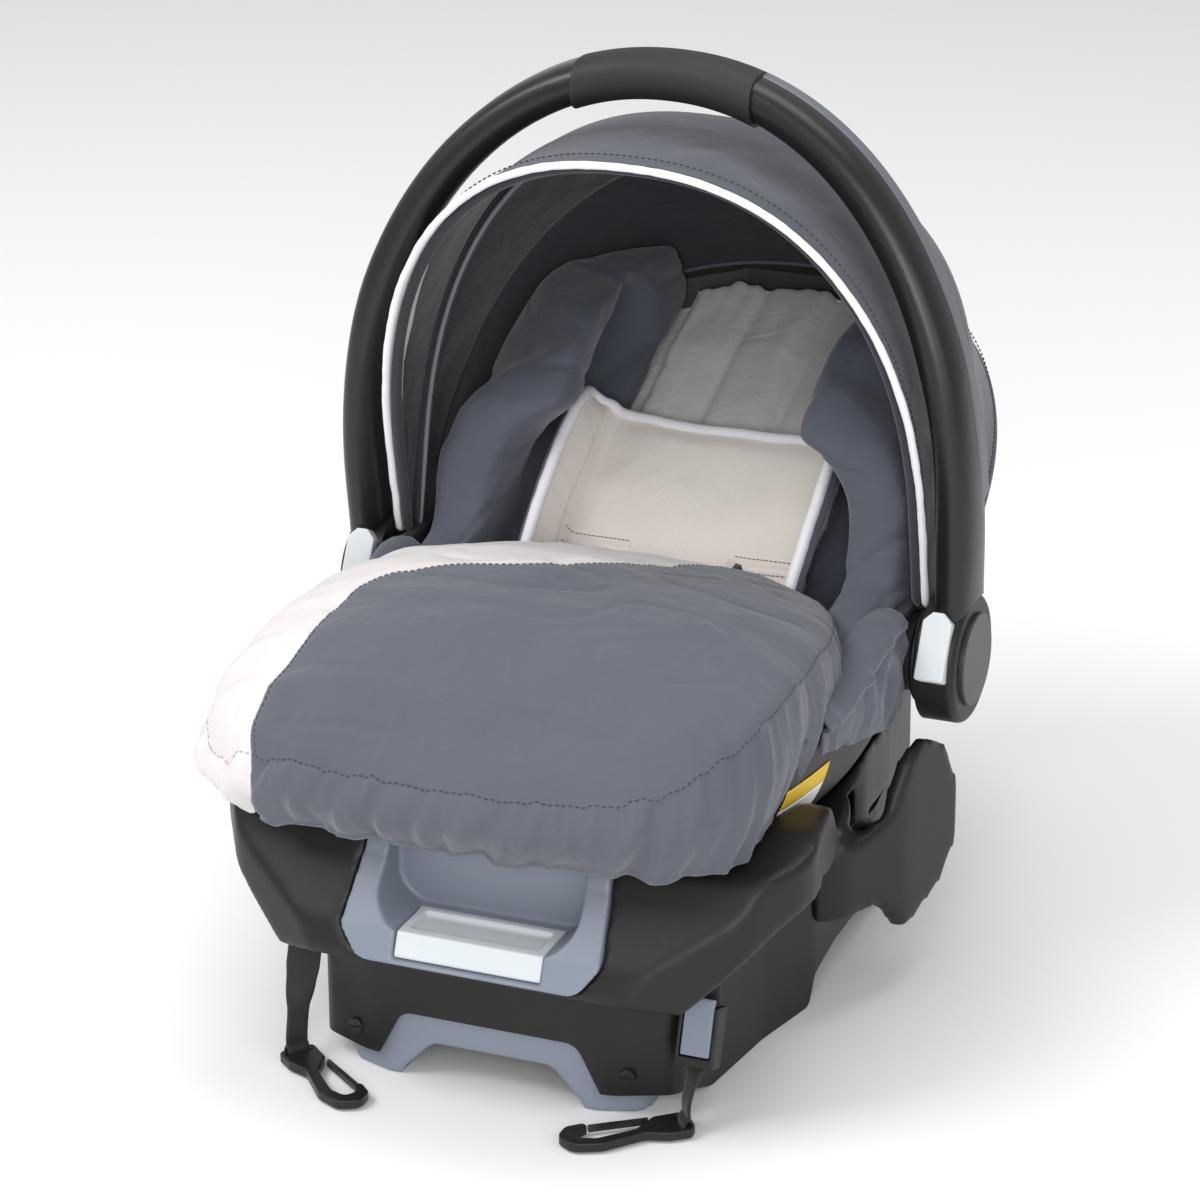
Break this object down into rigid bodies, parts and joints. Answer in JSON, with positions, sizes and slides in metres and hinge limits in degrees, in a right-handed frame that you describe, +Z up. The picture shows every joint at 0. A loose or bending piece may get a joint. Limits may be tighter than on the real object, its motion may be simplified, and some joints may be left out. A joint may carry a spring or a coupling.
{
  "type": "infant car seat",
  "caption": "Rear-facing infant carrier with swing handle, folding canopy, padded insert and foot cover, latched on a stay-in-car base with a recline foot and anchor hooks.",
  "frame": {"origin": "middle of the floor area that the seat covers, on the floor", "axes": "+Z up, +Y towards the head end, +X to the right seen from the foot end; the hub axis runs along X at Y 0.020 m, Z 0.211 m"},
  "size_m": [0.4358, 0.6337, 0.5825],
  "materials": {
    "black_plastic": "satin moulded",
    "grey_plastic": "satin moulded",
    "light_plastic": "satin moulded",
    "badge_plastic": "satin",
    "rubber_grip": "soft touch",
    "steel": "plated",
    "black_steel": "black coat",
    "red_plastic": "satin",
    "dark_fabric": "woven polyester",
    "light_fabric": "woven polyester",
    "insert_fabric": "brushed polyester",
    "webbing": "webbing",
    "foam": "expanded bead foam"
  },
  "bodies": {
    "base": {"base_upper": "black_plastic", "base_lower": "black_plastic", "recline_bezel": "grey_plastic", "base_screws": "steel", "base_catches": "black_plastic", "anchor_strap_left": "webbing", "anchor_strap_right": "webbing", "anchor_adjuster_body": "black_plastic"},
    "recline_lever": {"recline_lever": "light_plastic"},
    "recline_foot": {"recline_foot": "grey_plastic", "recline_rack": "steel"},
    "carrier": {"carrier_shell": "grey_plastic", "handle_pivot_left": "steel", "handle_pivot_right": "steel", "canopy_rear_fabric": "dark_fabric", "carrier_latch_bar": "steel", "seat_foam": "foam", "seat_pad_panel": "light_fabric", "seat_pad_bolster_left": "dark_fabric", "seat_pad_bolster_right": "dark_fabric", "infant_insert": "insert_fabric", "boot_cover": "dark_fabric", "buckle": "black_plastic", "buckle_tongue_left": "steel", "buckle_tongue_right": "steel", "crotch_strap": "webbing", "harness_strap_left": "webbing", "harness_strap_right": "webbing", "harness_adjuster": "black_plastic", "harness_tail": "webbing", "release_housing": "black_plastic"},
    "release_handle": {"release_handle": "grey_plastic"},
    "buckle_button": {"buckle_button": "red_plastic"},
    "harness_adjuster_lever": {"harness_adjuster_lever": "red_plastic"},
    "handle": {"handle_frame": "black_plastic", "handle_rear_rib": "grey_plastic", "handle_grip": "rubber_grip", "hub_housing_left": "black_plastic", "hub_housing_right": "black_plastic", "hub_badge_left": "badge_plastic", "hub_badge_right": "badge_plastic"},
    "handle_button_left": {"handle_button_left": "light_plastic"},
    "handle_button_right": {"handle_button_right": "light_plastic"},
    "canopy_middle": {"canopy_middle_bow": "black_plastic", "canopy_middle_fabric": "dark_fabric"},
    "canopy_front": {"canopy_front_bow": "black_plastic", "canopy_front_fabric": "dark_fabric"},
    "anchor_hook_left": {"anchor_hook_left": "black_steel"},
    "anchor_hook_right": {"anchor_hook_right": "black_steel"},
    "anchor_gate_left": {"anchor_gate_left": "black_steel"},
    "anchor_gate_right": {"anchor_gate_right": "black_steel"},
    "anchor_adjuster_tab": {"anchor_adjuster_tab": "grey_plastic"}
  },
  "joints": [
    {"name": "carrier_lift", "type": "slide", "parent": "base", "child": "carrier", "axis": [0, 0, 1], "range_m": [0, 0.2]},
    {"name": "recline_lever_pull", "type": "slide", "parent": "base", "child": "recline_lever", "axis": [0, -1, 0], "range_m": [0, 0.012], "stiffness_N_per_m": 900, "springref_m": -0.004},
    {"name": "recline_foot_drop", "type": "slide", "parent": "base", "child": "recline_foot", "axis": [0, 0, -1], "range_m": [0, 0.045]},
    {"name": "release_handle_lift", "type": "slide", "parent": "carrier", "child": "release_handle", "axis": [0, 0, 1], "range_m": [0, 0.009], "stiffness_N_per_m": 600, "springref_m": -0.003},
    {"name": "buckle_press", "type": "slide", "parent": "carrier", "child": "buckle_button", "axis": [0, 1, 0], "range_m": [0, 0.003], "stiffness_N_per_m": 1500, "springref_m": -0.002},
    {"name": "harness_adjuster_press", "type": "hinge", "parent": "carrier", "child": "harness_adjuster_lever", "pos_m": [0, -0.167, 0.1735], "axis": [1, 0, 0], "range_deg": [0, 5], "stiffness_Nm_per_rad": 0.6, "springref_deg": -5.73},
    {"name": "handle_swing", "type": "hinge", "parent": "carrier", "child": "handle", "pos_m": [0, 0.02, 0.211], "axis": [1, 0, 0], "range_deg": [-100, 45]},
    {"name": "handle_button_left_press", "type": "slide", "parent": "handle", "child": "handle_button_left", "axis": [0, 0.8829, -0.4695], "range_m": [0, 0.006], "stiffness_N_per_m": 900, "springref_m": -0.004},
    {"name": "handle_button_right_press", "type": "slide", "parent": "handle", "child": "handle_button_right", "axis": [0, 0.8829, -0.4695], "range_m": [0, 0.006], "stiffness_N_per_m": 900, "springref_m": -0.004},
    {"name": "canopy_middle_fold", "type": "hinge", "parent": "carrier", "child": "canopy_middle", "pos_m": [0, 0.02, 0.211], "axis": [1, 0, 0], "range_deg": [-22, 0]},
    {"name": "canopy_front_fold", "type": "hinge", "parent": "canopy_middle", "child": "canopy_front", "pos_m": [0, 0.02, 0.211], "axis": [1, 0, 0], "range_deg": [-22, 0]},
    {"name": "anchor_hook_right_swing", "type": "hinge", "parent": "base", "child": "anchor_hook_right", "pos_m": [0.12627, -0.26569, 0.004], "axis": [-0.6157, 0.788, 0], "range_deg": [0, 60]},
    {"name": "anchor_gate_right_open", "type": "hinge", "parent": "anchor_hook_right", "child": "anchor_gate_right", "pos_m": [0.10571, -0.2678, 0.004], "axis": [0, 0, 1], "range_deg": [0, 12], "stiffness_Nm_per_rad": 0.02, "springref_deg": -5.73},
    {"name": "anchor_hook_left_swing", "type": "hinge", "parent": "base", "child": "anchor_hook_left", "pos_m": [-0.12627, -0.26969, 0.004], "axis": [-0.6157, -0.788, 0], "range_deg": [0, 60]},
    {"name": "anchor_gate_left_open", "type": "hinge", "parent": "anchor_hook_left", "child": "anchor_gate_left", "pos_m": [-0.10571, -0.2718, 0.004], "axis": [0, 0, -1], "range_deg": [0, 12], "stiffness_Nm_per_rad": 0.02, "springref_deg": -5.73},
    {"name": "anchor_adjuster_press", "type": "hinge", "parent": "base", "child": "anchor_adjuster_tab", "pos_m": [0.1325, -0.25801, 0.04932], "axis": [-1, 0, 0], "range_deg": [-2, 0], "stiffness_Nm_per_rad": 0.5, "springref_deg": 5.73}
  ],
  "couplings": [
    {"joint": "canopy_front_fold", "follows": "canopy_middle_fold", "ratio": 1}
  ]
}
